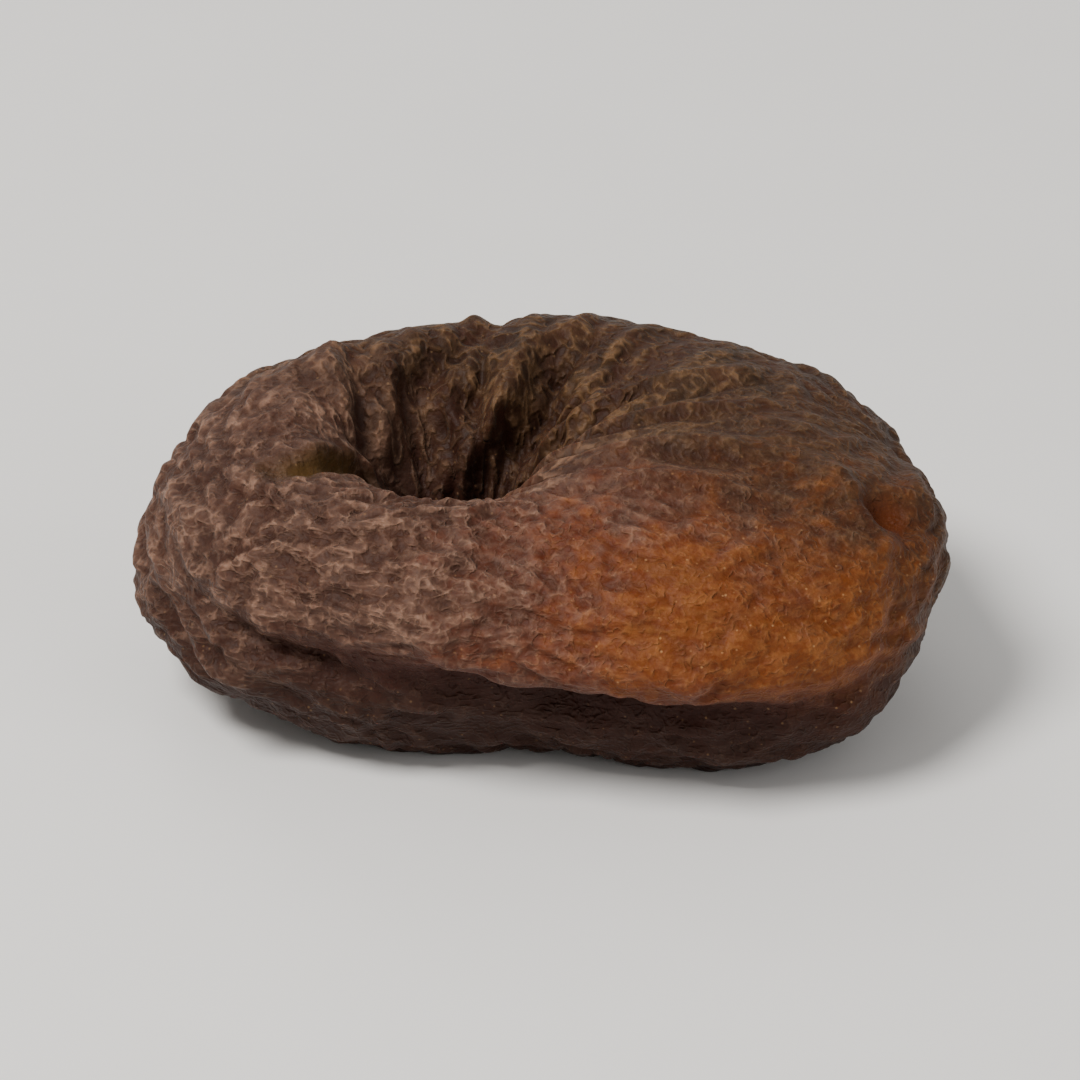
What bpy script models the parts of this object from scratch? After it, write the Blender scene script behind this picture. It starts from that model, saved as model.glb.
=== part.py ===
"""A whole pitted dried apricot, lying on its underside with its pit hollow up.

The fruit is one closed skin. A point of it is found from two angles: its azimuth round the
hollow, and its polar angle, which runs from the floor of the hollow (0) over the crest and
the rim to the middle of the underside (pi). Folds and wrinkles are then raised along the
skin's own normals. +X is the stem end, -Y the front, +Z up, and the floor is at z = 0.
"""

import itertools
import math

import bmesh
import bpy
import numpy as np

MM = 0.001

# The whole fruit, in metres.
LENGTH = 39.5 * MM
THICKNESS = 14.8 * MM

# The pit hollow on the upper side, and the shallow one below.
HOLLOW_CENTRE = np.array([-4.6, -1.6]) * MM
HOLLOW_FLOOR = 5.0 * MM
UNDER_CENTRE = np.array([1.0, 0.0]) * MM
UNDER_FLOOR = 2.6 * MM

# Stations round the fruit, every 45 degrees from the stem end and anticlockwise from above,
# so that the fifth is the blossom end and the seventh the front. Lengths are shares of the
# half length, heights are shares of the thickness. The underside's reach, and the crest's and
# the lip's places, are shares of the way to the rim.
RIM_REACH = (0.94, 0.85, 0.76, 0.875, 1.03, 0.875, 0.725, 0.935)
RIM_HEIGHT = (0.57, 0.50, 0.49, 0.51, 0.455, 0.48, 0.55, 0.50)
UNDERSIDE_REACH = (0.88, 0.93, 0.94, 0.91, 1.00, 0.96, 0.865, 1.04)
CREST_PLACE = (0.60, 0.64, 0.66, 0.65, 0.62, 0.56, 0.50, 0.52)
CREST_HEIGHT = (0.94, 0.93, 0.99, 0.97, 0.94, 0.88, 0.875, 0.94)
LIP_PLACE = (0.15, 0.31, 0.42, 0.43, 0.35, 0.27, 0.22, 0.14)

# Folds: (half width, height, points), with each point an azimuth and a polar angle in
# degrees. A fold of negative height is a crease.
FOLDS = {
    "left end of the hollow": (
        0.8 * MM, -0.9 * MM, ((196, 64), (197, 56), (193, 48), (182, 40), (164, 31))
    ),
    "edge over the left end": (
        0.6 * MM, 0.5 * MM, ((193, 58), (190, 51), (179, 42), (165, 35), (155, 29))
    ),
    "left back ridge 1": (0.85 * MM, 0.7 * MM, ((138, 68), (146, 59), (153, 51), (159, 43))),
    "left back ridge 2": (0.8 * MM, 0.8 * MM, ((125, 57), (132, 50), (138, 43), (139, 33))),
    "notch in the back crest": (
        0.8 * MM, -0.6 * MM, ((98, 92), (99, 76), (103, 60), (111, 50), (119, 45), (127, 40))
    ),
    "back wall strand": (
        0.7 * MM, 1.1 * MM, ((112, 44), (114, 37), (111, 32), (116, 27), (126, 21))
    ),
    "back wall pillar": (
        0.85 * MM, 1.7 * MM, ((86, 54), (88, 46), (90, 39), (95, 34), (103, 29), (112, 20))
    ),
    "back wall crease": (
        0.8 * MM, -1.0 * MM, ((74, 54), (72, 46), (71, 39), (74, 33), (84, 26))
    ),
    "lip at the right": (
        0.7 * MM, 1.0 * MM, ((28, 64), (32, 53), (38, 45), (46, 38), (57, 32), (70, 26))
    ),
    "right strand 1": (0.7 * MM, 0.7 * MM, ((10, 64), (7, 55), (4, 48), (0, 42), (354, 35))),
    "right strand 2": (0.7 * MM, 0.7 * MM, ((346, 64), (342, 57), (336, 52), (328, 47), (318, 41))),
    "right strand 3": (0.7 * MM, 0.6 * MM, ((330, 66), (323, 60), (314, 55), (304, 51), (290, 50))),
    "front furrow": (
        1.6 * MM,
        -1.6 * MM,
        ((220, 101), (232, 104), (248, 109), (264, 112), (284, 113), (302, 112), (322, 110)),
    ),
    "front lobe over the furrow": (
        1.8 * MM, 0.9 * MM, ((236, 97), (258, 103), (280, 104), (302, 103), (318, 101))
    ),
    "front pucker": (0.8 * MM, -1.0 * MM, ((197, 92), (207, 96), (216, 100), (226, 106), (236, 115))),
    "front pucker fan 1": (0.6 * MM, -0.6 * MM, ((196, 97), (204, 102), (213, 108), (222, 116))),
    "front pucker fan 2": (0.6 * MM, -0.6 * MM, ((190, 98), (197, 104), (204, 111), (213, 121))),
    "ridge beside the scar": (0.7 * MM, 0.5 * MM, ((345, 68), (342, 74), (336, 79), (331, 85))),
    "crease below the scar": (0.7 * MM, -0.35 * MM, ((334, 86), (330, 92), (326, 98), (323, 104))),
    "stem end pucker": (0.9 * MM, -0.8 * MM, ((8, 84), (4, 94), (352, 102), (346, 112))),
    "back furrow": (1.1 * MM, -1.0 * MM, ((28, 104), (50, 110), (78, 106), (104, 112), (132, 106))),
    "blossom end crease": (0.9 * MM, -0.8 * MM, ((150, 84), (166, 92), (182, 96), (192, 102))),
}

# The round pit left by the stem: its azimuth and polar angle in degrees, its radius and depth.
SCAR_PLACE = (340, 82)
SCAR_RADIUS = 1.3 * MM
SCAR_DEPTH = 1.2 * MM

# Lumps, and rounded wrinkles of the flesh: their spacing across, their length and height.
LUMP_SIZE = 9.0 * MM
LUMP_HEIGHT = 0.65 * MM
WRINKLE_SPACING = 2.5 * MM
WRINKLE_LENGTH = 6.0 * MM
WRINKLE_HEIGHT = 0.62 * MM
PLEATS_ROUND_HOLLOW = 38
PLEAT_LENGTH = 6.5 * MM
# The pleats are tall on the hollow's wall and low on the crest.
PLEAT_HEIGHT = 0.9 * MM
CREST_PLEAT_HEIGHT = 0.45 * MM
# Where the hollow's wall turns into the crest, and how far down the outside the pleats reach at
# each station, as polar angles in degrees.
CREST_START = 44
PLEAT_REACH = (66, 72, 76, 66, 54, 44, 44, 56)

# The skin's length from the hollow's floor to the middle of the underside, and its half width.
SKIN_LENGTH = 50.0 * MM
HALF_WIDTH = 18.0 * MM

# The skin is a quad sphere with this many quads along each edge of its six faces.
QUADS_PER_EDGE = 31

# The brown of unsulphured fruit.
SKIN_COLOUR = (0.16, 0.065, 0.025, 1.0)
SKIN_ROUGHNESS = 0.55


def clear_scene():
    for old in list(bpy.data.objects):
        bpy.data.objects.remove(old)


def round_the_fruit(stations, azimuth):
    """A value given at equal steps round the fruit, made smooth between them."""
    terms = np.fft.rfft(stations) / len(stations)
    total = np.full(azimuth.shape, terms[0].real)
    for order, term in enumerate(terms[1:], start=1):
        share = 1.0 if 2 * order == len(stations) else 2.0
        turned = term * np.exp(1j * order * azimuth)
        total = total + share * turned.real
    return total


def profile_points(azimuth):
    """The skin's guide points at each azimuth, from the hollow's floor to the underside.

    Each is (horizontal place, height), with the place a share of the way to the rim.
    """
    rim = round_the_fruit(RIM_HEIGHT, azimuth) * THICKNESS
    crest = round_the_fruit(CREST_HEIGHT, azimuth) * THICKNESS
    crest_at = round_the_fruit(CREST_PLACE, azimuth)
    lip_at = round_the_fruit(LIP_PLACE, azimuth)
    under = round_the_fruit(UNDERSIDE_REACH, azimuth)
    wall = crest - HOLLOW_FLOOR
    side = crest - rim
    zero = np.zeros_like(azimuth)
    return [
        # The hollow's floor, wall and lip.
        (zero, zero + HOLLOW_FLOOR),
        (0.45 * lip_at, zero + HOLLOW_FLOOR + 0.4 * MM),
        (0.76 * lip_at, HOLLOW_FLOOR + 0.40 * wall),
        (lip_at, HOLLOW_FLOOR + 0.82 * wall),
        # The crest, a little higher than its station so that the spline comes up to it.
        (0.45 * lip_at + 0.55 * crest_at, crest + 0.2 * MM),
        (crest_at + 0.06, crest + 0.5 * MM),
        (0.25 * crest_at + 0.72, rim + 0.82 * side),
        # The rim.
        (zero + 1.005, rim + 0.44 * side),
        (zero + 1.03, rim - 0.02 * side),
        # The underside, sagging a little below the floor, and the dimple in its middle.
        (under, 0.56 * rim),
        (0.85 * under, 0.16 * rim),
        (0.60 * under, zero - 0.9 * MM),
        (zero + 0.34, zero + 0.2 * MM),
        (zero + 0.14, zero + UNDER_FLOOR),
        (zero, zero + UNDER_FLOOR + 0.3 * MM),
    ]


def smooth_form(azimuth, polar):
    """Points of the plump form with no folds: a B-spline through each azimuth's guide points."""
    reach = round_the_fruit(RIM_REACH, azimuth) * LENGTH / 2
    rim = np.stack([reach * np.cos(azimuth), reach * np.sin(azimuth)], axis=1)
    profile = profile_points(azimuth)
    upper = 8
    guides = []
    for index, (place, height) in enumerate(profile):
        centre = HOLLOW_CENTRE if index <= upper else UNDER_CENTRE
        flat = centre + place[:, None] * (rim - centre)
        guides.append(np.column_stack([flat, height]))
    # A guide point beyond each pole, across it, so that the skin is smooth there.
    first = guides[0] * 2 - guides[1]
    first[:, 2] = guides[1][:, 2]
    last = guides[-1] * 2 - guides[-2]
    last[:, 2] = guides[-2][:, 2]
    guides = np.stack([first, *guides, last])

    spans = len(profile) - 1
    along = np.clip(polar / math.pi, 0.0, 1.0) * spans
    span = np.minimum(along.astype(int), spans - 1)
    t = (along - span)[:, None]
    row = np.arange(len(azimuth))
    near = [guides[span + step, row] for step in range(4)]
    return (
        near[0] * (1 - t) ** 3
        + near[1] * (3 * t**3 - 6 * t**2 + 4)
        + near[2] * (-3 * t**3 + 3 * t**2 + 3 * t + 1)
        + near[3] * t**3
    ) / 6


def gradient_noise(points, seed):
    """Smooth noise between about -1 and 1, one bump or hollow to each unit of distance."""
    cell = np.floor(points).astype(np.int64)
    inside = points - cell
    fade = inside**3 * (inside * (inside * 6 - 15) + 10)
    total = np.zeros(len(points))
    for corner in itertools.product((0, 1), repeat=3):
        at = cell + corner
        mixed = (at[:, 0] * 73856093) ^ (at[:, 1] * 19349663) ^ (at[:, 2] * 83492791)
        mixed ^= seed * 2654435
        mixed = (mixed ^ (mixed >> 13)) * 1274126177 & 0xFFFFFFFF
        mixed = (mixed ^ (mixed >> 16)) * 2246822519 & 0xFFFFFFFF
        turn = (mixed & 0xFFFF) / 65536 * 2 * math.pi
        rise = (mixed >> 16) / 32768 - 1
        flat = np.sqrt(1 - rise**2)
        offset = inside - corner
        slope = flat * (np.cos(turn) * offset[:, 0] + np.sin(turn) * offset[:, 1])
        slope += rise * offset[:, 2]
        weight = np.prod(np.where(corner, fade, 1 - fade), axis=1)
        total += weight * slope
    return total * 1.7


def fold_path(points, samples=48):
    """The skin's own points along a fold, smooth through the fold's (azimuth, polar) points."""
    angles = np.radians(np.array(points, float))
    angles[:, 0] = np.unwrap(angles[:, 0])
    padded = np.vstack([2 * angles[0] - angles[1], angles, 2 * angles[-1] - angles[-2]])
    along = np.linspace(0, len(points) - 1, samples)
    span = np.minimum(along.astype(int), len(points) - 2)
    t = (along - span)[:, None]
    a, b, c, d = (padded[span + step] for step in range(4))
    smooth = b + 0.5 * t * (c - a + t * (2 * a - 5 * b + 4 * c - d + t * (3 * (b - c) + d - a)))
    return smooth_form(smooth[:, 0], smooth[:, 1])


def scar_share(form):
    """1 in the middle of the stem's pit, falling to 0 away from it."""
    azimuth, polar = np.radians(SCAR_PLACE)
    middle = smooth_form(np.array([azimuth]), np.array([polar]))[0]
    away = np.linalg.norm(form - middle, axis=1)
    return np.exp(-((away / SCAR_RADIUS) ** 2))


def fold_heights(form):
    """How far the named folds and creases lift or sink each point of the plain form."""
    total = np.zeros(len(form))
    for half_width, height, points in FOLDS.values():
        path = fold_path(points)
        away = np.full(len(form), np.inf)
        place = np.zeros(len(form))
        for index, point in enumerate(path):
            distance = np.linalg.norm(form - point, axis=1)
            closer = distance < away
            away[closer] = distance[closer]
            place[closer] = index / (len(path) - 1)
        ends = np.sin(math.pi * np.clip(place, 0.04, 0.96)) ** 0.6
        total += height * ends * np.exp(-((away / half_width) ** 2))
    return total


def stretched_noise(form, azimuth, polar, around_cells, down_size, seed):
    """Gradient noise laid on the skin, with its cells counted round it and sized down it."""
    sway = gradient_noise(form / (6 * MM), seed + 1)
    sway_more = gradient_noise(form / (2.5 * MM), seed + 2)
    radius = around_cells / (2 * math.pi)
    turn = azimuth + (0.10 * sway + 0.03 * sway_more)
    down = polar / math.pi * SKIN_LENGTH / down_size
    shift = (0.9 * sway + 0.45 * sway_more) * min(1.0, 3 * MM / down_size)
    grid = np.column_stack([radius * np.cos(turn), radius * np.sin(turn), down + shift])
    return gradient_noise(grid, seed)


def wrinkle_heights(form, azimuth, polar):
    """Lumps, ring-wise wrinkles on the flesh, and pleats that run down into the hollow."""
    lumps = gradient_noise(form / LUMP_SIZE, 3)
    round_the_rim = 2 * math.pi * HALF_WIDTH / WRINKLE_LENGTH
    ring = stretched_noise(form, azimuth, polar, round_the_rim, WRINKLE_SPACING, 11)
    pleat = stretched_noise(form, azimuth, polar, PLEATS_ROUND_HOLLOW, PLEAT_LENGTH, 23)
    # Rounded ridges with narrow valleys between them.
    ring = np.sqrt(ring**2 + 0.01) - 0.35
    pleat = np.sqrt(pleat**2 + 0.03) - 0.38
    down = np.degrees(polar)
    pleated = 1 / (1 + np.exp((down - round_the_fruit(PLEAT_REACH, azimuth)) / 5))
    # The pleats die out at the hollow's floor, where they would run into each other.
    clear_of_floor = np.clip((down - 5) / 20, 0, 1)
    on_crest = 1 / (1 + np.exp((CREST_START - down) / 4))
    pleat_height = PLEAT_HEIGHT + (CREST_PLEAT_HEIGHT - PLEAT_HEIGHT) * on_crest
    return (
        LUMP_HEIGHT * lumps
        + WRINKLE_HEIGHT * ring * (1 - pleated)
        + pleat_height * pleat * pleated * clear_of_floor
    )


def quad_sphere(quads):
    """A cube with its faces divided and its corners rounded out onto the unit sphere."""
    mesh = bmesh.new()
    bmesh.ops.create_cube(mesh, size=2.0)
    bmesh.ops.subdivide_edges(mesh, edges=mesh.edges[:], cuts=quads - 1, use_grid_fill=True)
    for vert in mesh.verts:
        even = [math.tan(value * math.pi / 4) for value in vert.co]
        vert.co = even
        vert.co.normalize()
    return mesh


def skin_material():
    material = bpy.data.materials.new("skin")
    material.use_nodes = True
    shader = material.node_tree.nodes["Principled BSDF"]
    shader.inputs["Base Color"].default_value = SKIN_COLOUR
    shader.inputs["Roughness"].default_value = SKIN_ROUGHNESS
    return material


def vertex_values(collection, attribute):
    """A vector of every vertex as rows of an array."""
    values = np.empty(len(collection) * 3)
    collection.foreach_get(attribute, values)
    return values.reshape(-1, 3)


def make_fruit(quads):
    sphere = quad_sphere(quads)
    data = bpy.data.meshes.new("dried_apricot")
    sphere.to_mesh(data)
    sphere.free()
    directions = vertex_values(data.vertices, "co")
    azimuth = np.arctan2(directions[:, 1], directions[:, 0])
    polar = np.arccos(np.clip(directions[:, 2], -1, 1))

    form = smooth_form(azimuth, polar)
    data.vertices.foreach_set("co", form.ravel())
    data.update()
    normals = vertex_values(data.vertex_normals, "vector")
    heights = fold_heights(form) + wrinkle_heights(form, azimuth, polar)
    heights -= SCAR_DEPTH * scar_share(form)
    skin = form + normals * heights[:, None]
    # Whatever sags below the floor is pressed flat: that is the sole the fruit rests on.
    skin[:, 2] = np.maximum(skin[:, 2], 0.0)
    middle = (skin.min(axis=0) + skin.max(axis=0)) / 2
    skin[:, :2] -= middle[:2]
    data.vertices.foreach_set("co", skin.ravel())
    data.materials.append(skin_material())
    data.shade_smooth()
    data.update()
    return data


def main():
    clear_scene()
    fruit = bpy.data.objects.new("dried_apricot", make_fruit(QUADS_PER_EDGE))
    bpy.context.scene.collection.objects.link(fruit)


main()
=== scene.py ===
"""The dressed dried apricot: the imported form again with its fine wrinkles, skin and light.

The form is found as in the model's source, from an azimuth round the pit hollow and a polar
angle from the hollow's floor (0) to the middle of the underside (pi). The fine wrinkles are
added to it, and the skin's colour follows them.
"""

import itertools
import math

import bmesh
import bpy
import numpy as np
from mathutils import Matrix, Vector


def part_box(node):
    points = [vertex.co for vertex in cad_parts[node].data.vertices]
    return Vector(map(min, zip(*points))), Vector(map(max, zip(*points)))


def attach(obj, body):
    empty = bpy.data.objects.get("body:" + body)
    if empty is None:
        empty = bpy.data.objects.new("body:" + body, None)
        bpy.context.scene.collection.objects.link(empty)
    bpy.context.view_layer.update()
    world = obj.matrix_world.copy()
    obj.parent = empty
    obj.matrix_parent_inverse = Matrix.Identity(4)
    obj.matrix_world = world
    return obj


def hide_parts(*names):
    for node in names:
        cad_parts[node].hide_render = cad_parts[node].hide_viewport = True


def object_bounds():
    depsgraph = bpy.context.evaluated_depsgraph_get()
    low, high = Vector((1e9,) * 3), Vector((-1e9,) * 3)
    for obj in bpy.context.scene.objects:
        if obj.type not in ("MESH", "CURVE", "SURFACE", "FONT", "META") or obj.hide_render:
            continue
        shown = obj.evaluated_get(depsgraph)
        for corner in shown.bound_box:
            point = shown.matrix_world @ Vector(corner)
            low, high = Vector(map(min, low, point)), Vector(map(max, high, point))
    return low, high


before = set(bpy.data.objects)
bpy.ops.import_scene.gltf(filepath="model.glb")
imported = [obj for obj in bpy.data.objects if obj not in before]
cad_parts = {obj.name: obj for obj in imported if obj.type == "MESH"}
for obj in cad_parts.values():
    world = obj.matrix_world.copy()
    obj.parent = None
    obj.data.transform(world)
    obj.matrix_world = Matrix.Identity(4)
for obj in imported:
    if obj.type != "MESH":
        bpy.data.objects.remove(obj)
cad_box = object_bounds()

MM = 0.001

# The whole fruit, in metres.
LENGTH = 39.5 * MM
THICKNESS = 14.8 * MM

# The pit hollow on the upper side, and the shallow one below.
HOLLOW_CENTRE = np.array([-4.6, -1.6]) * MM
HOLLOW_FLOOR = 5.0 * MM
UNDER_CENTRE = np.array([1.0, 0.0]) * MM
UNDER_FLOOR = 2.6 * MM

# Stations round the fruit, every 45 degrees from the stem end and anticlockwise from above,
# so that the fifth is the blossom end and the seventh the front. Lengths are shares of the
# half length, heights are shares of the thickness. The underside's reach, and the crest's and
# the lip's places, are shares of the way to the rim.
RIM_REACH = (0.94, 0.85, 0.76, 0.875, 1.03, 0.875, 0.725, 0.935)
RIM_HEIGHT = (0.57, 0.50, 0.49, 0.51, 0.455, 0.48, 0.55, 0.50)
UNDERSIDE_REACH = (0.88, 0.93, 0.94, 0.91, 1.00, 0.96, 0.865, 1.04)
CREST_PLACE = (0.60, 0.64, 0.66, 0.65, 0.62, 0.56, 0.50, 0.52)
CREST_HEIGHT = (0.94, 0.93, 0.99, 0.97, 0.94, 0.88, 0.875, 0.94)
LIP_PLACE = (0.15, 0.31, 0.42, 0.43, 0.35, 0.27, 0.22, 0.14)

# Folds: (half width, height, points), with each point an azimuth and a polar angle in
# degrees. A fold of negative height is a crease.
FOLDS = {
    "left end of the hollow": (
        0.8 * MM, -0.9 * MM, ((196, 64), (197, 56), (193, 48), (182, 40), (164, 31))
    ),
    "edge over the left end": (
        0.6 * MM, 0.5 * MM, ((193, 58), (190, 51), (179, 42), (165, 35), (155, 29))
    ),
    "left back ridge 1": (0.85 * MM, 0.7 * MM, ((138, 68), (146, 59), (153, 51), (159, 43))),
    "left back ridge 2": (0.8 * MM, 0.8 * MM, ((125, 57), (132, 50), (138, 43), (139, 33))),
    "notch in the back crest": (
        0.8 * MM, -0.6 * MM, ((98, 92), (99, 76), (103, 60), (111, 50), (119, 45), (127, 40))
    ),
    "back wall strand": (
        0.7 * MM, 1.1 * MM, ((112, 44), (114, 37), (111, 32), (116, 27), (126, 21))
    ),
    "back wall pillar": (
        0.85 * MM, 1.7 * MM, ((86, 54), (88, 46), (90, 39), (95, 34), (103, 29), (112, 20))
    ),
    "back wall crease": (
        0.8 * MM, -1.0 * MM, ((74, 54), (72, 46), (71, 39), (74, 33), (84, 26))
    ),
    "lip at the right": (
        0.7 * MM, 1.0 * MM, ((28, 64), (32, 53), (38, 45), (46, 38), (57, 32), (70, 26))
    ),
    "right strand 1": (0.7 * MM, 0.7 * MM, ((10, 64), (7, 55), (4, 48), (0, 42), (354, 35))),
    "right strand 2": (0.7 * MM, 0.7 * MM, ((346, 64), (342, 57), (336, 52), (328, 47), (318, 41))),
    "right strand 3": (0.7 * MM, 0.6 * MM, ((330, 66), (323, 60), (314, 55), (304, 51), (290, 50))),
    "front furrow": (
        1.6 * MM,
        -1.6 * MM,
        ((220, 101), (232, 104), (248, 109), (264, 112), (284, 113), (302, 112), (322, 110)),
    ),
    "front lobe over the furrow": (
        1.8 * MM, 0.9 * MM, ((236, 97), (258, 103), (280, 104), (302, 103), (318, 101))
    ),
    "front pucker": (0.8 * MM, -1.0 * MM, ((197, 92), (207, 96), (216, 100), (226, 106), (236, 115))),
    "front pucker fan 1": (0.6 * MM, -0.6 * MM, ((196, 97), (204, 102), (213, 108), (222, 116))),
    "front pucker fan 2": (0.6 * MM, -0.6 * MM, ((190, 98), (197, 104), (204, 111), (213, 121))),
    "ridge beside the scar": (0.7 * MM, 0.5 * MM, ((345, 68), (342, 74), (336, 79), (331, 85))),
    "crease below the scar": (0.7 * MM, -0.35 * MM, ((334, 86), (330, 92), (326, 98), (323, 104))),
    "stem end pucker": (0.9 * MM, -0.8 * MM, ((8, 84), (4, 94), (352, 102), (346, 112))),
    "back furrow": (1.1 * MM, -1.0 * MM, ((28, 104), (50, 110), (78, 106), (104, 112), (132, 106))),
    "blossom end crease": (0.9 * MM, -0.8 * MM, ((150, 84), (166, 92), (182, 96), (192, 102))),
}

# The round pit left by the stem: its azimuth and polar angle in degrees, its radius and depth.
SCAR_PLACE = (340, 82)
SCAR_RADIUS = 1.3 * MM
SCAR_DEPTH = 1.2 * MM

# Lumps, and rounded wrinkles of the flesh: their spacing across, their length and height.
LUMP_SIZE = 9.0 * MM
LUMP_HEIGHT = 0.65 * MM
WRINKLE_SPACING = 2.5 * MM
WRINKLE_LENGTH = 6.0 * MM
WRINKLE_HEIGHT = 0.62 * MM
PLEATS_ROUND_HOLLOW = 38
PLEAT_LENGTH = 6.5 * MM
# The pleats are tall on the hollow's wall and low on the crest.
PLEAT_HEIGHT = 0.9 * MM
CREST_PLEAT_HEIGHT = 0.45 * MM
# Where the hollow's wall turns into the crest, and how far down the outside the pleats reach at
# each station, as polar angles in degrees.
CREST_START = 44
PLEAT_REACH = (66, 72, 76, 66, 54, 44, 44, 56)

# The skin's length from the hollow's floor to the middle of the underside, and its half width.
SKIN_LENGTH = 50.0 * MM
HALF_WIDTH = 18.0 * MM

# Fine wrinkles: rounded, their spacing across, their length and height. Those that run down
# into the hollow are lower on the crest.
FINE_SPACING = 0.85 * MM
FINE_LENGTH = 1.4 * MM
FINE_HEIGHT = 0.28 * MM
STRANDS_ROUND_HOLLOW = 46
STRAND_LENGTH = 3.0 * MM
STRAND_HEIGHT = 0.40 * MM
CREST_STRAND_HEIGHT = 0.26 * MM
# A fine wrinkle rises from its valley to its ridge between these values of its noise.
FINE_RISE = (-0.45, 0.55)
# The share of their height that fine wrinkles lose where the skin is smoothest.
FINE_LOSS = 0.7

# How gradually the pleats, and the strands, give way to the wrinkles round the fruit, in degrees.
PLEAT_EDGE = 5
STRAND_EDGE = 6

# Seeds of the noises that make the form.
LUMP_SEED = 3
WRINKLE_SEED = 11
PLEAT_SEED = 23
FINE_SEED = 51
STRAND_SEED = 61

# The piece is a quad sphere with this many quads along each edge of its six faces.
QUADS_PER_EDGE = 127

# The warm, smoother cheek at the front right and the fainter warmth above it: their middles,
# and their half widths along X, Y and Z.
CHEEK_CENTRE = np.array([9.0, -11.0, 9.0]) * MM
CHEEK_REACH = np.array([11.0, 7.0, 4.8]) * MM
SHOULDER_CENTRE = np.array([15.0, -4.0, 12.0]) * MM
SHOULDER_REACH = np.array([7.0, 8.0, 6.0]) * MM
SHOULDER_WARMTH = 0.50
# Both fade out between these multiples of their half widths, with a ragged edge. Each of its
# two noises has how far it moves the edge, its size and its seed.
ZONE_FADE = (0.1, 2.1)
ZONE_EDGES = ((0.34, 4.0 * MM, 71), (0.22, 1.3 * MM, 72))

# How smooth the skin is in the middle of each of its smoother zones.
SMOOTHNESS = {"cheek": 0.9, "shoulder": 0.5, "furrow": 0.8, "scar": 1.0, "lip": 0.8}

# Where the painted shade of the hollow's floor fades out and the painted shade of the underside
# fades in, as polar angles in degrees.
HOLLOW_SHADE_FADE = (18, 40)
UNDERSIDE_SHADE_FADE = (97, 120)
# How much further than their own forms the colours of the scar and of the lip spread.
SCAR_SPREAD = 1.5
LIP_SPREAD = 1.4
# Wrinkles get painted shade where they are deeper than this, in millimetres.
SHALLOW_WRINKLE = 0.25
# The skin is painted darker and more olive at the back and right than the grey-brown at the front and
# left, as shade: along this direction, over about this distance to each side of the middle.
TOWARDS_BACK = np.array([0.5, 0.7, 0.15])
BACK_SHADE_FADE = 5 * MM

# The finest ridges are drawn by the skin's material: their sizes along X, Y and Z in
# millimetres, and how narrow they are. Level and crumpled ones share the flesh in patches, and
# upright ones run down the hollow's wall.
LEVEL_RIDGES = ((1.20, 1.20, 0.36), 9.5)
CRUMPLED_RIDGES = ((0.48, 0.48, 0.48), 8.0)
UPRIGHT_RIDGES = ((0.65, 0.65, 2.20), 6.5)
# The least and the greatest share of level ridges, and what is left of a ridge at its breaks.
LEVEL_SHARE = (0.30, 0.80)
BROKEN_RIDGE = 0.25
# The share of the finest ridges that the smoothest skin keeps, and the share that the lip loses.
SMOOTH_RIDGES = 0.28
LIP_LOSS = 0.25
# The faint weave of the smooth skin: its sizes along X, Y and Z in millimetres.
WEAVE_SIZES = (0.85, 0.85, 0.30)

# How many marks of each kind the skin has to a millimetre.
MOTTLE_DENSITY = 0.35
BLOTCH_DENSITY = 1.1
GRAIN_DENSITY = 3.2
PATCH_DENSITY = 0.7
BREAK_DENSITY = 1.7
# The painted glints, pale spots that stand in for highlights on tiny bumps:
PAINTED_GLINT_DENSITY = 1.8
# The values of each noise between which its marks come up. The weave's are those of the grain.
MOTTLE_RISE = (0.35, 0.70)
BLOTCH_RISE = (0.40, 0.55)
GRAIN_RISE = (0.42, 0.62)
PATCH_RISE = (0.42, 0.58)
BREAK_RISE = (0.38, 0.60)
# A painted glint fades in from the first of these distances from its middle to the second, where the
# glints are about 1 apart.
PAINTED_GLINT_EDGE = (0.16, 0.06)
# What counts as high on a fine wrinkle, where it gets painted highlight, and as low, where it gets
# painted shade, where its valley is 0 and its ridge 1.
HIGH_ON_WRINKLE = (0.3, 0.9)
LOW_ON_WRINKLE = (0.0, 0.5)

# Heights of the relief that the material adds.
RIDGE_RELIEF = 0.18 * MM
WEAVE_RELIEF = 0.16 * MM
GRAIN_RELIEF = 0.09 * MM

# How strongly the pale bloom and painted highlight show along the finest ridges in valleys and on
# high wrinkles, how much high wrinkles add to them, and how much the weave and the grain do.
BLOOM_AND_HIGHLIGHT_ON_RIDGES = (0.75, 1.25)
BLOOM_AND_HIGHLIGHT_ON_HIGH = 0.10
BLOOM_AND_HIGHLIGHT_ON_WEAVE = 0.34
BLOOM_AND_HIGHLIGHT_ON_GRAIN = 0.10

# How much blotches change the skin's warmth, and the warmths between which that sets in, the
# valleys turn reddish, the bloom and its painted highlight turn warm, and both turn golden.
BLOTCHINESS = 0.85
BLOTCHY = (0.0, 0.25)
REDDISH = (0.0, 0.75)
WARM_BLOOM_AND_HIGHLIGHT_RISE = (0.25, 0.90)
GOLDEN = (0.40, 1.05)

# Colours as they look on screen, from 0 to 255. Where there are two, the first is for the
# fruit's front and left and the second, a darker painted shade, for its back and right.
VALLEY = ((56, 34, 26), (38, 22, 11))
MOTTLED_VALLEY = (64, 34, 21)
REDDISH_VALLEY = ((86, 35, 15), (54, 28, 11))
GOLDEN_VALLEY = (100, 47, 9)
# The pale bloom on the ridges: partly the skin's own bloom, partly painted highlight and sheen.
BLOOM_AND_HIGHLIGHT = ((129, 98, 81), (99, 72, 48))
WARM_BLOOM_AND_HIGHLIGHT = ((136, 86, 58), (98, 62, 36))
GOLDEN_BLOOM_AND_HIGHLIGHT = (144, 92, 47)
# Painted glints: pale spots standing in for highlights on the skin's tiny bumps.
PAINTED_GLINT = (190, 148, 102)
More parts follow.
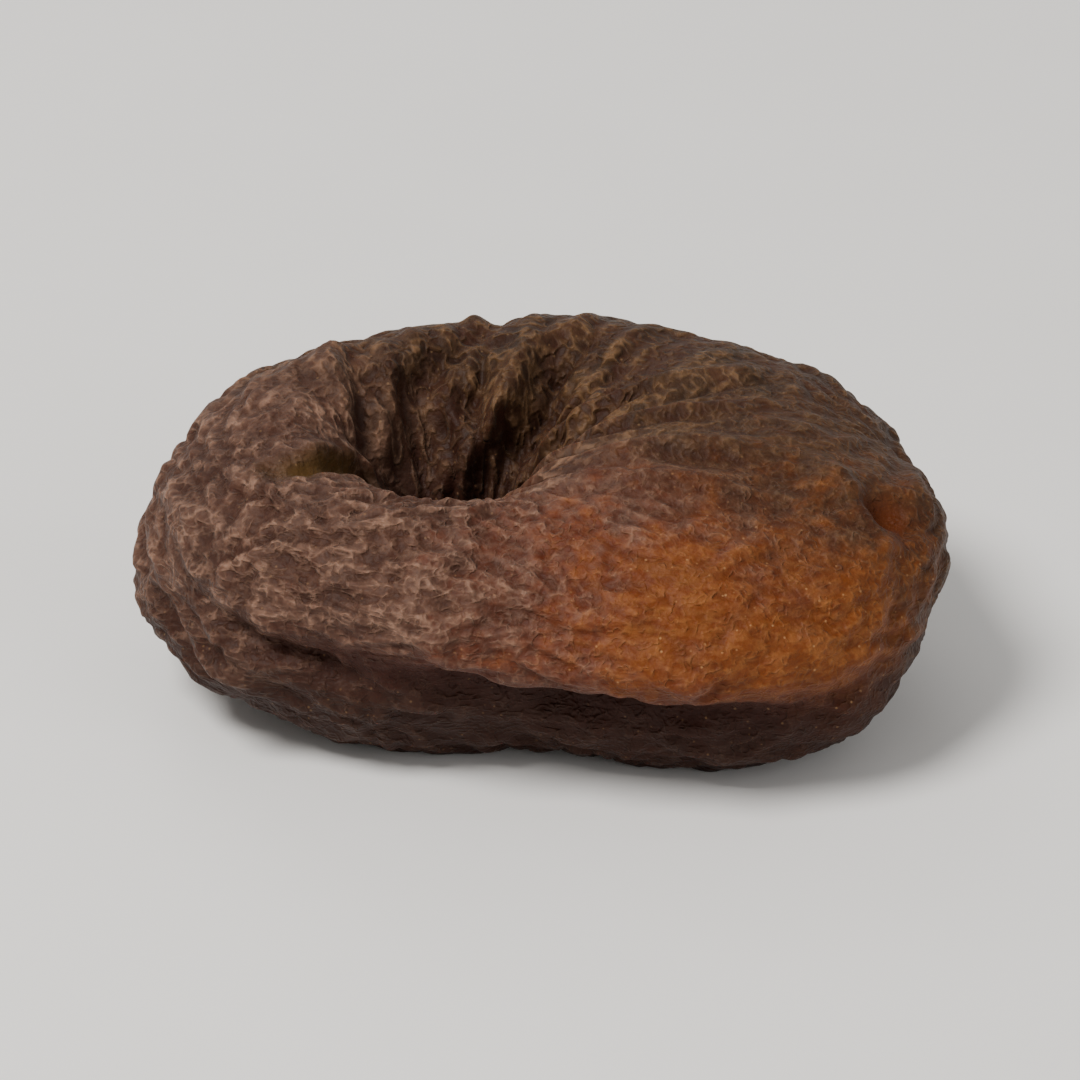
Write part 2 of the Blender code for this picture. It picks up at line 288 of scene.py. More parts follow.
# How strong the valleys' mottling is.
MOTTLE_STRENGTH = 0.7

# Painted shade and tints laid over the skin one after the other: where, how strong and their colour.
SHADES_AND_TINTS = (
    # Painted shade in the valleys of the fine wrinkles.
    ("valleys", 0.40, (44, 19, 9)),
    # The furrow's reddish-brown colour, darkened further as painted shade.
    ("furrow", 0.85, (64, 19, 8)),
    # Painted shade on the underside.
    ("underside", 0.85, (35, 13, 5)),
    # Painted shade in the creases, the deep wrinkles and the hollow's floor.
    ("depths", 1.00, (36, 13, 7)),
    ("lip", 0.80, (70, 48, 12)),
    ("scar", 0.85, (78, 32, 2)),
)
# How deep a full crease and the hollow's floor count as for the painted shade of the depths.
CREASE_DEPTH = 0.45
HOLLOW_DEPTH = 0.75
# How strongly the painted glints show where the skin is brown, and where it is golden.
PAINTED_GLINT_STRENGTH = (0.15, 0.45)

# The shader's roughness, from the lowest grain to the highest.
ROUGHNESS = (0.42, 0.68)

# Soft lights: place, width, power and tint, in metres and watts.
LIGHTS = {
    "key": ((-0.22, -0.16, 0.42), 0.20, 2.9, (1.0, 0.98, 0.95)),
    "fill": ((0.40, -0.35, 0.25), 0.40, 0.7, (0.96, 0.98, 1.0)),
    "rim": ((-0.15, 0.45, 0.35), 0.30, 0.5, (1.0, 0.99, 0.97)),
}
WORLD_TINT = (1.0, 0.98, 0.95, 1.0)
WORLD_STRENGTH = 0.42
# The floor's radius, and its darker and paler colour as they look on screen.
FLOOR_RADIUS = 1.5
FLOOR = ((238, 236, 233), (243, 241, 239))

# The camera looks down at the photograph's angle, from this distance, and its picture is this
# wide at the fruit. The sensor is in millimetres, as lenses are.
CAMERA_RISE = math.radians(28)
CAMERA_DISTANCE = 0.45
PICTURE_WIDTH = 53 * MM
SENSOR_WIDTH = 36.0


def round_the_fruit(stations, azimuth):
    """A value given at equal steps round the fruit, made smooth between them."""
    terms = np.fft.rfft(stations) / len(stations)
    total = np.full(azimuth.shape, terms[0].real)
    for order, term in enumerate(terms[1:], start=1):
        share = 1.0 if 2 * order == len(stations) else 2.0
        turned = term * np.exp(1j * order * azimuth)
        total = total + share * turned.real
    return total


def profile_points(azimuth):
    """The skin's guide points at each azimuth, from the hollow's floor to the underside.

    Each is (horizontal place, height), with the place a share of the way to the rim.
    """
    rim = round_the_fruit(RIM_HEIGHT, azimuth) * THICKNESS
    crest = round_the_fruit(CREST_HEIGHT, azimuth) * THICKNESS
    crest_at = round_the_fruit(CREST_PLACE, azimuth)
    lip_at = round_the_fruit(LIP_PLACE, azimuth)
    under = round_the_fruit(UNDERSIDE_REACH, azimuth)
    wall = crest - HOLLOW_FLOOR
    side = crest - rim
    zero = np.zeros_like(azimuth)
    return [
        # The hollow's floor, wall and lip.
        (zero, zero + HOLLOW_FLOOR),
        (0.45 * lip_at, zero + HOLLOW_FLOOR + 0.4 * MM),
        (0.76 * lip_at, HOLLOW_FLOOR + 0.40 * wall),
        (lip_at, HOLLOW_FLOOR + 0.82 * wall),
        # The crest, a little higher than its station so that the spline comes up to it.
        (0.45 * lip_at + 0.55 * crest_at, crest + 0.2 * MM),
        (crest_at + 0.06, crest + 0.5 * MM),
        (0.25 * crest_at + 0.72, rim + 0.82 * side),
        # The rim.
        (zero + 1.005, rim + 0.44 * side),
        (zero + 1.03, rim - 0.02 * side),
        # The underside, sagging a little below the floor, and the dimple in its middle.
        (under, 0.56 * rim),
        (0.85 * under, 0.16 * rim),
        (0.60 * under, zero - 0.9 * MM),
        (zero + 0.34, zero + 0.2 * MM),
        (zero + 0.14, zero + UNDER_FLOOR),
        (zero, zero + UNDER_FLOOR + 0.3 * MM),
    ]


def smooth_form(azimuth, polar):
    """Points of the plump form with no folds: a B-spline through each azimuth's guide points."""
    reach = round_the_fruit(RIM_REACH, azimuth) * LENGTH / 2
    rim = np.stack([reach * np.cos(azimuth), reach * np.sin(azimuth)], axis=1)
    profile = profile_points(azimuth)
    upper = 8
    guides = []
    for index, (place, height) in enumerate(profile):
        centre = HOLLOW_CENTRE if index <= upper else UNDER_CENTRE
        flat = centre + place[:, None] * (rim - centre)
        guides.append(np.column_stack([flat, height]))
    # A guide point beyond each pole, across it, so that the skin is smooth there.
    first = guides[0] * 2 - guides[1]
    first[:, 2] = guides[1][:, 2]
    last = guides[-1] * 2 - guides[-2]
    last[:, 2] = guides[-2][:, 2]
    guides = np.stack([first, *guides, last])

    spans = len(profile) - 1
    along = np.clip(polar / math.pi, 0.0, 1.0) * spans
    span = np.minimum(along.astype(int), spans - 1)
    t = (along - span)[:, None]
    row = np.arange(len(azimuth))
    near = [guides[span + step, row] for step in range(4)]
    return (
        near[0] * (1 - t) ** 3
        + near[1] * (3 * t**3 - 6 * t**2 + 4)
        + near[2] * (-3 * t**3 + 3 * t**2 + 3 * t + 1)
        + near[3] * t**3
    ) / 6


def gradient_noise(points, seed):
    """Smooth noise between about -1 and 1, one bump or hollow to each unit of distance."""
    cell = np.floor(points).astype(np.int64)
    inside = points - cell
    fade = inside**3 * (inside * (inside * 6 - 15) + 10)
    total = np.zeros(len(points))
    for corner in itertools.product((0, 1), repeat=3):
        at = cell + corner
        mixed = (at[:, 0] * 73856093) ^ (at[:, 1] * 19349663) ^ (at[:, 2] * 83492791)
        mixed ^= seed * 2654435
        mixed = (mixed ^ (mixed >> 13)) * 1274126177 & 0xFFFFFFFF
        mixed = (mixed ^ (mixed >> 16)) * 2246822519 & 0xFFFFFFFF
        turn = (mixed & 0xFFFF) / 65536 * 2 * math.pi
        rise = (mixed >> 16) / 32768 - 1
        flat = np.sqrt(1 - rise**2)
        offset = inside - corner
        slope = flat * (np.cos(turn) * offset[:, 0] + np.sin(turn) * offset[:, 1])
        slope += rise * offset[:, 2]
        weight = np.prod(np.where(corner, fade, 1 - fade), axis=1)
        total += weight * slope
    return total * 1.7


def fold_path(points, samples=48):
    """The skin's own points along a fold, smooth through the fold's (azimuth, polar) points."""
    angles = np.radians(np.array(points, float))
    angles[:, 0] = np.unwrap(angles[:, 0])
    padded = np.vstack([2 * angles[0] - angles[1], angles, 2 * angles[-1] - angles[-2]])
    along = np.linspace(0, len(points) - 1, samples)
    span = np.minimum(along.astype(int), len(points) - 2)
    t = (along - span)[:, None]
    a, b, c, d = (padded[span + step] for step in range(4))
    smooth = b + 0.5 * t * (c - a + t * (2 * a - 5 * b + 4 * c - d + t * (3 * (b - c) + d - a)))
    return smooth_form(smooth[:, 0], smooth[:, 1])


def scar_share(form):
    """1 in the middle of the stem's pit, falling to 0 away from it."""
    azimuth, polar = np.radians(SCAR_PLACE)
    middle = smooth_form(np.array([azimuth]), np.array([polar]))[0]
    away = np.linalg.norm(form - middle, axis=1)
    return np.exp(-((away / SCAR_RADIUS) ** 2))


def fold_heights(form, names=tuple(FOLDS)):
    """How far the named folds and creases lift or sink each point of the plain form."""
    total = np.zeros(len(form))
    for name in names:
        half_width, height, points = FOLDS[name]
        path = fold_path(points)
        away = np.full(len(form), np.inf)
        place = np.zeros(len(form))
        for index, point in enumerate(path):
            distance = np.linalg.norm(form - point, axis=1)
            closer = distance < away
            away[closer] = distance[closer]
            place[closer] = index / (len(path) - 1)
        ends = np.sin(math.pi * np.clip(place, 0.04, 0.96)) ** 0.6
        total += height * ends * np.exp(-((away / half_width) ** 2))
    return total


def stretched_noise(form, azimuth, polar, around_cells, down_size, seed):
    """Gradient noise laid on the skin, with its cells counted round it and sized down it."""
    sway = gradient_noise(form / (6 * MM), seed + 1)
    sway_more = gradient_noise(form / (2.5 * MM), seed + 2)
    radius = around_cells / (2 * math.pi)
    turn = azimuth + (0.10 * sway + 0.03 * sway_more)
    down = polar / math.pi * SKIN_LENGTH / down_size
    shift = (0.9 * sway + 0.45 * sway_more) * min(1.0, 3 * MM / down_size)
    grid = np.column_stack([radius * np.cos(turn), radius * np.sin(turn), down + shift])
    return gradient_noise(grid, seed)


def smooth_step(value, low, high):
    """0 below low, 1 above high and smooth between."""
    share = np.clip((value - low) / (high - low), 0, 1)
    return share * share * (3 - 2 * share)


def pleated_share(azimuth, polar, edge):
    """1 where wrinkles run down into the hollow, 0 where they run round the fruit."""
    beyond = np.degrees(polar) - round_the_fruit(PLEAT_REACH, azimuth)
    return 1 / (1 + np.exp(beyond / edge))


def clear_of_floor(polar):
    """0 at the hollow's floor, where pleats would run into each other, and 1 away from it."""
    return np.clip((np.degrees(polar) - 5) / 20, 0, 1)


def wrinkle_heights(form, azimuth, polar):
    """Lumps, ring-wise wrinkles on the flesh, and pleats that run down into the hollow."""
    lumps = gradient_noise(form / LUMP_SIZE, LUMP_SEED)
    round_the_rim = 2 * math.pi * HALF_WIDTH / WRINKLE_LENGTH
    ring = stretched_noise(form, azimuth, polar, round_the_rim, WRINKLE_SPACING, WRINKLE_SEED)
    pleat = stretched_noise(form, azimuth, polar, PLEATS_ROUND_HOLLOW, PLEAT_LENGTH, PLEAT_SEED)
    # Rounded ridges with narrow valleys between them.
    ring = np.sqrt(ring**2 + 0.01) - 0.35
    pleat = np.sqrt(pleat**2 + 0.03) - 0.38
    pleated = pleated_share(azimuth, polar, PLEAT_EDGE)
    on_crest = 1 / (1 + np.exp((CREST_START - np.degrees(polar)) / 4))
    pleat_height = PLEAT_HEIGHT + (CREST_PLEAT_HEIGHT - PLEAT_HEIGHT) * on_crest
    return (
        LUMP_HEIGHT * lumps
        + WRINKLE_HEIGHT * ring * (1 - pleated)
        + pleat_height * pleat * pleated * clear_of_floor(polar)
    )


def fine_wrinkles(form, azimuth, polar, smooth):
    """Fine wrinkles, ring-wise on the flesh and running down into the hollow.

    It gives where each point lies, from 0 in a valley to 1 on a ridge, and how far it is lifted.
    """
    round_the_rim = 2 * math.pi * HALF_WIDTH / FINE_LENGTH
    ring = stretched_noise(form, azimuth, polar, round_the_rim, FINE_SPACING, FINE_SEED)
    strand = stretched_noise(form, azimuth, polar, STRANDS_ROUND_HOLLOW, STRAND_LENGTH, STRAND_SEED)
    ring = smooth_step(ring, *FINE_RISE)
    strand = smooth_step(strand, *FINE_RISE)
    pleated = pleated_share(azimuth, polar, STRAND_EDGE)
    clear = clear_of_floor(polar)
    ridge = ring * (1 - pleated) + strand * pleated * clear
    on_flesh = FINE_HEIGHT * (ring - 0.5) * (1 - pleated)
    on_crest = smooth_step(np.degrees(polar), CREST_START - 8, CREST_START + 8)
    strand_height = STRAND_HEIGHT + (CREST_STRAND_HEIGHT - STRAND_HEIGHT) * on_crest
    on_wall = strand_height * (strand - 0.5) * pleated * clear
    return ridge, (on_flesh + on_wall) * (1 - FINE_LOSS * smooth)


def zone_share(form, centre, reach):
    """1 in the middle of a zone of the skin and 0 away from it, with a ragged edge."""
    away = np.linalg.norm((form - centre) / reach, axis=1)
    ragged = sum(amount * gradient_noise(form / size, seed) for amount, size, seed in ZONE_EDGES)
    return 1 - smooth_step(away + ragged, *ZONE_FADE)


def fold_share(form, name):
    """How near each point is to the middle of a named fold: 1 in it, 0 away from it."""
    height = abs(FOLDS[name][1])
    return np.clip(np.abs(fold_heights(form, (name,))) / height, 0, 1)


def smoother_zones(form):
    """The zones where the skin is smoother, each as 1 in its middle and 0 away from it."""
    return {
        "cheek": zone_share(form, CHEEK_CENTRE, CHEEK_REACH),
        "shoulder": zone_share(form, SHOULDER_CENTRE, SHOULDER_REACH),
        "furrow": fold_share(form, "front furrow"),
        "scar": scar_share(form),
        "lip": fold_share(form, "left end of the hollow"),
    }


def places_on_skin(form, azimuth, polar, zones):
    """What the skin's material reads of each point's place on the fruit, from 0 to 1."""
    down = np.degrees(polar)
    return {
        "warmth": np.maximum(zones["cheek"], SHOULDER_WARMTH * zones["shoulder"]),
        "furrow": zones["furrow"],
        "scar": np.clip(SCAR_SPREAD * zones["scar"], 0, 1),
        "lip": np.clip(LIP_SPREAD * zones["lip"], 0, 1),
        # Where shade is painted: on the hollow's floor and on the underside.
        "hollow": 1 - smooth_step(down, *HOLLOW_SHADE_FADE),
        "underside": smooth_step(down, *UNDERSIDE_SHADE_FADE),
        # Where shade is painted towards the back and right.
        "back": smooth_step(form @ TOWARDS_BACK, -BACK_SHADE_FADE, BACK_SHADE_FADE),
        "pleated": pleated_share(azimuth, polar, STRAND_EDGE),
    }


def crease_share(folds, wrinkles):
    """How deep each point lies in folds and in wrinkles, in millimetres, up to one of each."""
    return np.clip(-folds / MM, 0, 1) + np.clip(-wrinkles / MM - SHALLOW_WRINKLE, 0, 1)


def fit_to_box(skin, box):
    """Squeezes the points by the little that their fine ridges stand out of a box."""
    low, high = np.array(box[0]), np.array(box[1])
    own_low, own_high = skin.min(axis=0), skin.max(axis=0)
    return low + (skin - own_low) * (high - low) / (own_high - own_low)


def quad_sphere(quads):
    """A cube with its faces divided and its corners rounded out onto the unit sphere."""
    mesh = bmesh.new()
    bmesh.ops.create_cube(mesh, size=2.0)
    bmesh.ops.subdivide_edges(mesh, edges=mesh.edges[:], cuts=quads - 1, use_grid_fill=True)
    for vert in mesh.verts:
        even = [math.tan(value * math.pi / 4) for value in vert.co]
        vert.co = even
        vert.co.normalize()
    return mesh


def vectors_of(collection, attribute):
    """A vector that a mesh has at every vertex, as rows of an array."""
    values = np.empty(len(collection) * 3)
    collection.foreach_get(attribute, values)
    return values.reshape(-1, 3)


def move_vertices(data, points):
    """Puts a mesh's vertices at these points."""
    data.vertices.foreach_set("co", points.ravel())
    data.update()


def keep_values(data, values):
    """Keeps named numbers of every vertex for the skin's material to read."""
    for name, numbers in values.items():
        attribute = data.attributes.new(name, "FLOAT", "POINT")
        attribute.data.foreach_set("value", numbers.astype(np.float32))


def make_fruit():
    """The fruit: a fine sphere moved out to the form, its folds and all its wrinkles."""
    sphere = quad_sphere(QUADS_PER_EDGE)
    data = bpy.data.meshes.new("wrinkled_fruit")
    sphere.to_mesh(data)
    sphere.free()
    directions = vectors_of(data.vertices, "co")
    azimuth = np.arctan2(directions[:, 1], directions[:, 0])
    polar = np.arccos(np.clip(directions[:, 2], -1, 1))
    form = smooth_form(azimuth, polar)
    move_vertices(data, form)
    normals = vectors_of(data.vertex_normals, "vector")

    zones = smoother_zones(form)
    smooth = np.max([SMOOTHNESS[name] * share for name, share in zones.items()], axis=0)
    folds = fold_heights(form) - SCAR_DEPTH * zones["scar"]
    wrinkles = wrinkle_heights(form, azimuth, polar)
    ridge, fine = fine_wrinkles(form, azimuth, polar, smooth)
    skin = form + normals * (folds + wrinkles + fine)[:, None]
    skin[:, 2] = np.maximum(skin[:, 2], 0.0)
    data.shade_smooth()
    move_vertices(data, fit_to_box(skin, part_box("dried_apricot")))

    keep_values(data, {"smooth": smooth, "ridge": ridge, "crease": crease_share(folds, wrinkles)})
    keep_values(data, places_on_skin(form, azimuth, polar, zones))
    fruit = bpy.data.objects.new("wrinkled_fruit", data)
    bpy.context.scene.collection.objects.link(fruit)
    return fruit


def colour(screen):
    """A colour given as it looks on screen, from 0 to 255, in the shader's linear light."""
    shares = [value / 255 for value in screen]
    linear = [v / 12.92 if v <= 0.04045 else ((v + 0.055) / 1.055) ** 2.4 for v in shares]
    return (*linear, 1.0)


class Nodes:
    """Short ways to add and join shader nodes in one material."""

    def __init__(self, name):
        self.material = bpy.data.materials.new(name)
        self.material.use_nodes = True
        self.tree = self.material.node_tree

    def put(self, socket, value):
        """Joins a socket to another node's output, or sets it to a value."""
        if isinstance(value, bpy.types.NodeSocket):
            self.tree.links.new(value, socket)
        else:
            socket.default_value = value

    def surface(self, inputs):
        """Sets the named inputs of the material's shader."""
        shader = self.tree.nodes["Principled BSDF"]
        for name, value in inputs.items():
            self.put(shader.inputs[name], value)

    def attribute(self, name):
        """A number that the mesh keeps at its vertices."""
        node = self.tree.nodes.new("ShaderNodeAttribute")
        node.attribute_name = name
        return node.outputs["Fac"]

    def place(self):
        """The object's own coordinates, in metres."""
        return self.tree.nodes.new("ShaderNodeTexCoord").outputs["Object"]

    def in_units(self, vector, sizes):
        """A vector counted in these sizes along X, Y and Z."""
        node = self.tree.nodes.new("ShaderNodeVectorMath")
        node.operation = "MULTIPLY"
        self.put(node.inputs[0], vector)
        self.put(node.inputs[1], [1 / size for size in sizes])
        return node.outputs[0]

    def math(self, operation, *values, clamp=False):
        node = self.tree.nodes.new("ShaderNodeMath")
        node.operation = operation
        node.use_clamp = clamp
        for socket, value in zip(node.inputs, values):
            self.put(socket, value)
        return node.outputs[0]

    def times(self, first, second):
        return self.math("MULTIPLY", first, second)

    def rest(self, share):
        """What a share leaves of 1."""
        return self.math("SUBTRACT", 1.0, share)

    def plus_share(self, total, share, amount, clamp=False):
        """A total with an amount added where the share is 1, and less where it is less."""
        return self.math("MULTIPLY_ADD", share, amount, total, clamp=clamp)

    def between(self, share, low, high):
        """low where the share is 0, high where it is 1."""
        return self.math("MULTIPLY_ADD", share, high - low, low)

    def ramp(self, value, low, high):
        """0 from low outwards, 1 from high outwards and smooth between, whichever is greater."""
        node = self.tree.nodes.new("ShaderNodeMapRange")
        node.interpolation_type = "SMOOTHSTEP"
        self.put(node.inputs["Value"], value)
        self.put(node.inputs["From Min"], low)
        self.put(node.inputs["From Max"], high)
        return node.outputs["Result"]

    def blend(self, share, first, second):
        """The first number where the share is 0, the second where it is 1."""
        node = self.tree.nodes.new("ShaderNodeMix")
        self.put(node.inputs[0], share)
        self.put(node.inputs[2], first)
        self.put(node.inputs[3], second)
        return node.outputs[0]

    def mix(self, share, first, second):
        """The first colour where the share is 0, the second where it is 1."""
        node = self.tree.nodes.new("ShaderNodeMix")
        node.data_type = "RGBA"
        node.clamp_factor = True
        self.put(node.inputs[0], share)
        self.put(node.inputs[6], first)
        self.put(node.inputs[7], second)
        return node.outputs[2]

    def noise(self, vector, scale, detail=2.0, roughness=0.5, distortion=0.0):
        node = self.tree.nodes.new("ShaderNodeTexNoise")
        self.put(node.inputs["Vector"], vector)
        self.put(node.inputs["Scale"], scale)
        self.put(node.inputs["Detail"], detail)
        self.put(node.inputs["Roughness"], roughness)
        self.put(node.inputs["Distortion"], distortion)
        return node.outputs["Fac"]

    def ridges(self, vector, narrowness):
        """Thin wavy ridges, from 0 to 1, one to each unit or so of the vector."""
        waves = self.noise(vector, 1.0, detail=1.0, roughness=0.35, distortion=0.25)
        from_middle = self.math("ABSOLUTE", self.math("SUBTRACT", waves, 0.5))
        away = self.times(from_middle, narrowness)
        return self.rest(self.math("MINIMUM", away, 1.0))

    def cells(self, vector, scale):
        """The distance to the nearest of many scattered points."""
        node = self.tree.nodes.new("ShaderNodeTexVoronoi")
        self.put(node.inputs["Vector"], vector)
        self.put(node.inputs["Scale"], scale)
        return node.outputs["Distance"]

    def bump(self, height, distance, strength, before=None):
        node = self.tree.nodes.new("ShaderNodeBump")
        self.put(node.inputs["Height"], height)
        self.put(node.inputs["Distance"], distance)
        self.put(node.inputs["Strength"], strength)
        if before is not None:
            self.put(node.inputs["Normal"], before)
        return node.outputs["Normal"]


def wrinkled_share(nodes):
    """1 where the skin is wrinkled, less where it is smooth and on the lip."""
    wrinkled = nodes.between(nodes.attribute("smooth"), 1.0, SMOOTH_RIDGES)
    lost = nodes.times(nodes.attribute("lip"), LIP_LOSS)
    return nodes.math("SUBTRACT", wrinkled, lost)


def finest_ridges(nodes, place):
    """The finest ridges, from 0 to 1, broken up along their way."""
    level, crumpled, upright = (
        nodes.ridges(nodes.in_units(place, sizes), narrowness)
        for sizes, narrowness in (LEVEL_RIDGES, CRUMPLED_RIDGES, UPRIGHT_RIDGES)
    )
    patch = nodes.ramp(nodes.noise(place, PATCH_DENSITY, detail=1.0), *PATCH_RISE)
    level_share = nodes.between(patch, *LEVEL_SHARE)
    level_share = nodes.times(level_share, nodes.rest(nodes.attribute("smooth")))
    ridges = nodes.blend(level_share, crumpled, level)
    ridges = nodes.blend(nodes.attribute("pleated"), ridges, upright)
    whole = nodes.ramp(nodes.noise(place, BREAK_DENSITY, detail=1.0), *BREAK_RISE)
    return nodes.times(ridges, nodes.between(whole, BROKEN_RIDGE, 1.0))


def bloom_and_highlight_share(nodes, ridges, wrinkled, weave, grain):
    """Where the pale bloom and painted highlight show: on ridges, on high wrinkles, and faintly on
    weave and grain.
    """
    high = nodes.times(nodes.ramp(nodes.attribute("ridge"), *HIGH_ON_WRINKLE), wrinkled)
    woven = nodes.times(nodes.attribute("smooth"), nodes.ramp(weave, *GRAIN_RISE))
    share = nodes.times(ridges, nodes.between(high, *BLOOM_AND_HIGHLIGHT_ON_RIDGES))
    share = nodes.plus_share(share, high, BLOOM_AND_HIGHLIGHT_ON_HIGH)
    share = nodes.plus_share(share, woven, BLOOM_AND_HIGHLIGHT_ON_WEAVE)
    return nodes.plus_share(share, nodes.ramp(grain, *GRAIN_RISE), BLOOM_AND_HIGHLIGHT_ON_GRAIN, clamp=True)


def blotchy_warmth(nodes, blotch):
    """The skin's warmth, changed by blotches where there is any."""
    warmth = nodes.attribute("warmth")
    warm = nodes.plus_share(warmth, nodes.math("SUBTRACT", blotch, 0.5), BLOTCHINESS)
    return nodes.times(warm, nodes.ramp(warmth, *BLOTCHY))


def front_to_shaded_back(nodes, colours):
    """The first colour at the fruit's front and left, turning to the second, a painted shade, at its
    back.
    """
    front, back = colours
    return nodes.mix(nodes.attribute("back"), colour(front), colour(back))


def valley_colour(nodes, mottle, warm, golden):
    """The skin between its ridges: mottled brown that turns reddish and then golden, darker at the
    back as painted shade.
    """
    mottled = nodes.times(nodes.ramp(mottle, *MOTTLE_RISE), MOTTLE_STRENGTH)
    valley = nodes.mix(mottled, front_to_shaded_back(nodes, VALLEY), colour(MOTTLED_VALLEY))
    valley = nodes.mix(nodes.ramp(warm, *REDDISH), valley, front_to_shaded_back(nodes, REDDISH_VALLEY))
    return nodes.mix(golden, valley, colour(GOLDEN_VALLEY))


def bloom_and_highlight_colour(nodes, warm, golden):
    """The pale bloom and painted highlight on the ridges, which warm later than the valleys do."""
    rise = nodes.ramp(warm, *WARM_BLOOM_AND_HIGHLIGHT_RISE)
    bloom_and_highlight_tone = nodes.mix(rise, front_to_shaded_back(nodes, BLOOM_AND_HIGHLIGHT), front_to_shaded_back(nodes, WARM_BLOOM_AND_HIGHLIGHT))
    return nodes.mix(golden, bloom_and_highlight_tone, colour(GOLDEN_BLOOM_AND_HIGHLIGHT))


def shaded_and_tinted(nodes, base, wrinkled):
    """A colour with painted shade in the skin's low places, depths and underside, the furrow's colour
    and painted shade, and the tints of the lip and scar.
    """
    shares = {name: nodes.attribute(name) for name in ("furrow", "underside", "lip", "scar")}
    low = nodes.rest(nodes.ramp(nodes.attribute("ridge"), *LOW_ON_WRINKLE))
    shares["valleys"] = nodes.times(low, wrinkled)
    creased = nodes.times(nodes.attribute("crease"), CREASE_DEPTH)
    hollowed = nodes.times(nodes.attribute("hollow"), HOLLOW_DEPTH)
    shares["depths"] = nodes.math("ADD", creased, hollowed, clamp=True)
    for name, strength, tint in SHADES_AND_TINTS:
        base = nodes.mix(nodes.times(shares[name], strength), base, colour(tint))
    return base


def with_painted_glints(nodes, base, place, blotch, golden):
    """A colour with painted glints: pale spots scattered over its blotches, standing in for
    highlights.
    """
    painted_glint = nodes.ramp(nodes.cells(place, PAINTED_GLINT_DENSITY), *PAINTED_GLINT_EDGE)
    painted_glint = nodes.times(painted_glint, nodes.ramp(blotch, *BLOTCH_RISE))
    painted_glint = nodes.times(painted_glint, nodes.between(golden, *PAINTED_GLINT_STRENGTH))
    return nodes.mix(painted_glint, base, colour(PAINTED_GLINT))


def skin_relief(nodes, ridges, weave, grain):
    """The relief of the finest ridges, of the smooth skin's weave and of the grain."""
    woven = nodes.times(weave, nodes.attribute("smooth"))
    normal = nodes.bump(ridges, RIDGE_RELIEF, 0.9)
    normal = nodes.bump(woven, WEAVE_RELIEF, 0.8, before=normal)
    return nodes.bump(grain, GRAIN_RELIEF, 0.8, before=normal)


def skin_material():
    """Dark wrinkled skin with a pale bloom and painted highlight on its ridges, painted shade in its
    low places, at its back and below, painted glints, and a warm, smoother cheek.
    """
    nodes = Nodes("apricot_skin")
    place = nodes.in_units(nodes.place(), (MM, MM, MM))
    mottle, blotch, grain = (
        nodes.noise(place, density, detail=3.0, roughness=0.6)
        for density in (MOTTLE_DENSITY, BLOTCH_DENSITY, GRAIN_DENSITY)
    )
    weave = nodes.noise(nodes.in_units(place, WEAVE_SIZES), 1.0)
    wrinkled = wrinkled_share(nodes)
    ridges = nodes.times(finest_ridges(nodes, place), wrinkled)
    bloom_and_highlight_mask = bloom_and_highlight_share(nodes, ridges, wrinkled, weave, grain)
    warm = blotchy_warmth(nodes, blotch)
    golden = nodes.ramp(warm, *GOLDEN)
    valley = valley_colour(nodes, mottle, warm, golden)
    base = nodes.mix(bloom_and_highlight_mask, valley, bloom_and_highlight_colour(nodes, warm, golden))
    base = shaded_and_tinted(nodes, base, wrinkled)
    base = with_painted_glints(nodes, base, place, blotch, golden)
    nodes.surface({
        "Base Color": base,
        "Roughness": nodes.between(grain, *ROUGHNESS),
        "Specular IOR Level": 0.13,
        "Subsurface Weight": 0.10,
        "Subsurface Radius": (1.0, 0.4, 0.2),
        "Subsurface Scale": 1.2 * MM,
        "Sheen Weight": 0.02,
        "Sheen Roughness": 0.5,
        "Normal": skin_relief(nodes, ridges, weave, grain),
    })
    return nodes.material


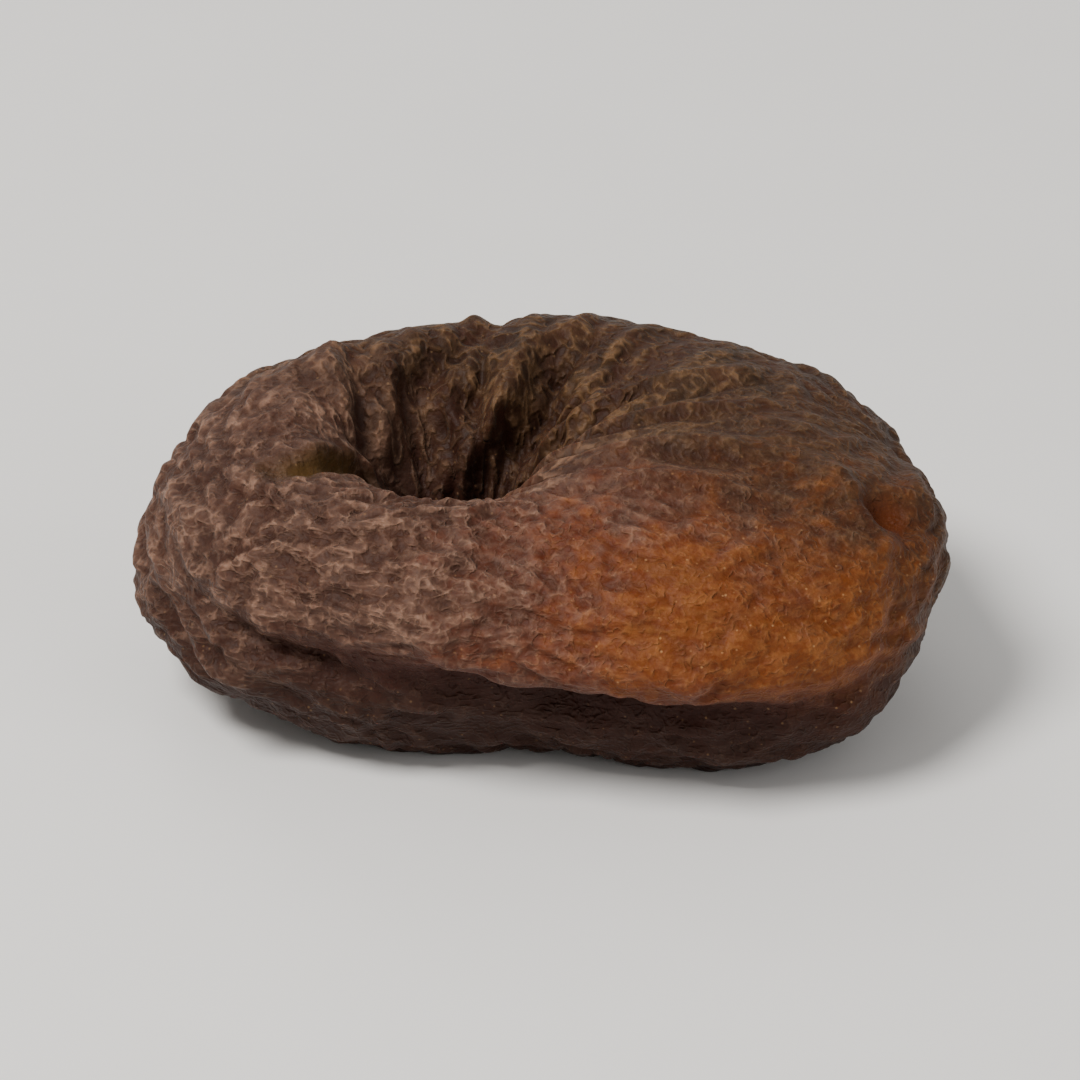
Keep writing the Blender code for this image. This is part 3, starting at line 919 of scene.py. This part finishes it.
def floor_material():
    """A plain pale floor, hardly clouded."""
    nodes = Nodes("pale_floor")
    soft = nodes.noise(nodes.place(), 90.0, detail=3.0)
    darker, paler = FLOOR
    shade = nodes.mix(soft, colour(darker), colour(paler))
    nodes.surface({"Base Color": shade, "Roughness": 0.6})
    return nodes.material


def make_floor():
    """A wide round floor, which belongs to the studio and not to the fruit."""
    mesh = bmesh.new()
    bmesh.ops.create_circle(mesh, cap_ends=True, segments=96, radius=FLOOR_RADIUS)
    data = bpy.data.meshes.new("floor")
    mesh.to_mesh(data)
    mesh.free()
    data.materials.append(floor_material())
    floor = bpy.data.objects.new("floor", data)
    bpy.context.scene.collection.objects.link(floor)


def aim(thing, place, target):
    """Puts a light or a camera at a place and turns it to a target."""
    thing.location = place
    thing.rotation_euler = (Vector(target) - Vector(place)).to_track_quat("-Z", "Y").to_euler()


def make_light(name, target):
    """A round soft light turned to a target."""
    place, width, power, tint = LIGHTS[name]
    lamp = bpy.data.lights.new(name, "AREA")
    lamp.shape = "DISK"
    lamp.size = width
    lamp.energy = power
    lamp.color = tint
    light = bpy.data.objects.new(name, lamp)
    bpy.context.scene.collection.objects.link(light)
    aim(light, place, target)


def make_studio(target):
    """Three soft lights and an even pale glow from all round."""
    for name in LIGHTS:
        make_light(name, target)
    world = bpy.data.worlds.new("studio")
    world.use_nodes = True
    glow = world.node_tree.nodes["Background"]
    glow.inputs["Color"].default_value = WORLD_TINT
    glow.inputs["Strength"].default_value = WORLD_STRENGTH
    bpy.context.scene.world = world


def make_camera(target):
    """A long lens at the photograph's angle: in front, and looking down."""
    data = bpy.data.cameras.new("camera")
    data.sensor_width = SENSOR_WIDTH
    data.lens = data.sensor_width * CAMERA_DISTANCE / PICTURE_WIDTH
    data.clip_start = 0.01
    camera = bpy.data.objects.new("camera", data)
    bpy.context.scene.collection.objects.link(camera)
    away = Vector((0, -math.cos(CAMERA_RISE), math.sin(CAMERA_RISE)))
    aim(camera, Vector(target) + CAMERA_DISTANCE * away, target)
    bpy.context.scene.camera = camera


low, high = cad_box
middle = [(a + b) / 2 for a, b in zip(low, high)]
make_camera(middle)
make_studio(middle)
make_floor()
fruit = make_fruit()
fruit.data.materials.append(skin_material())
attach(fruit, "root")
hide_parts("dried_apricot")
